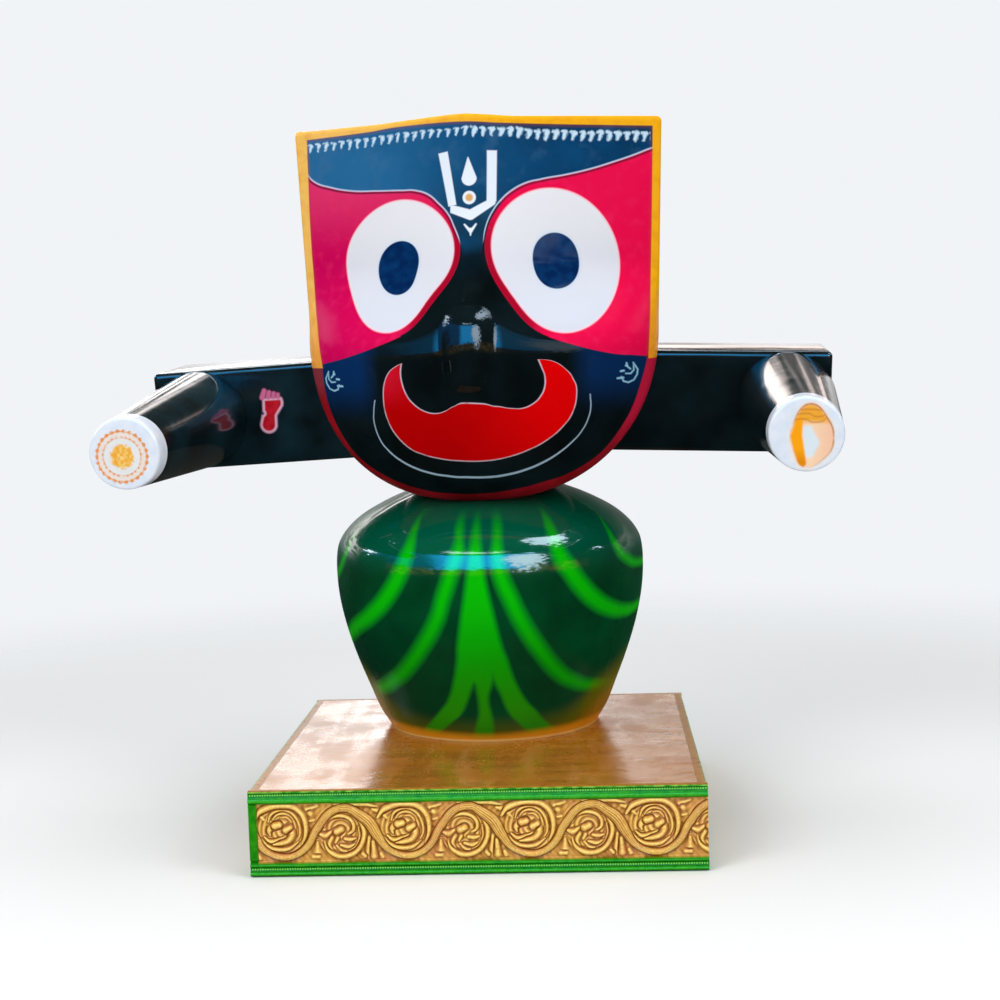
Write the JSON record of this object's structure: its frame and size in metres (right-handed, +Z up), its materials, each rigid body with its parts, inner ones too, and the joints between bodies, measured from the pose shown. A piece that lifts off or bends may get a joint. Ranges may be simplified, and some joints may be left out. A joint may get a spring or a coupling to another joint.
{
  "type": "jagannath figure",
  "caption": "Painted jagannath figure with an apron-shaped face, pot-shaped body and outstretched arms, on a square plinth with scroll borders.",
  "frame": {"origin": "middle of the plinth's underside", "axes": "+Z up, the face looks along -Y, +X along the width towards the arm with the conch"},
  "size_m": [1.0175, 0.7057, 1.0094],
  "materials": {
    "figure_paint": "high-gloss enamel over fibreglass: black figure with crimson, white, red and yellow painting, and a green body",
    "plinth_gold": "gold-brown paint with a glossy varnish and brush strokes",
    "border_gold": "gold relief shaded with brown, between glossy green rails"
  },
  "bodies": {
    "root": {"plinth": "plinth_gold", "front_border": "border_gold", "right_border": "border_gold", "back_border": "border_gold", "left_border": "border_gold", "head_and_body": "figure_paint", "conch_arm": "figure_paint", "wheel_arm": "figure_paint"}
  },
  "joints": []
}
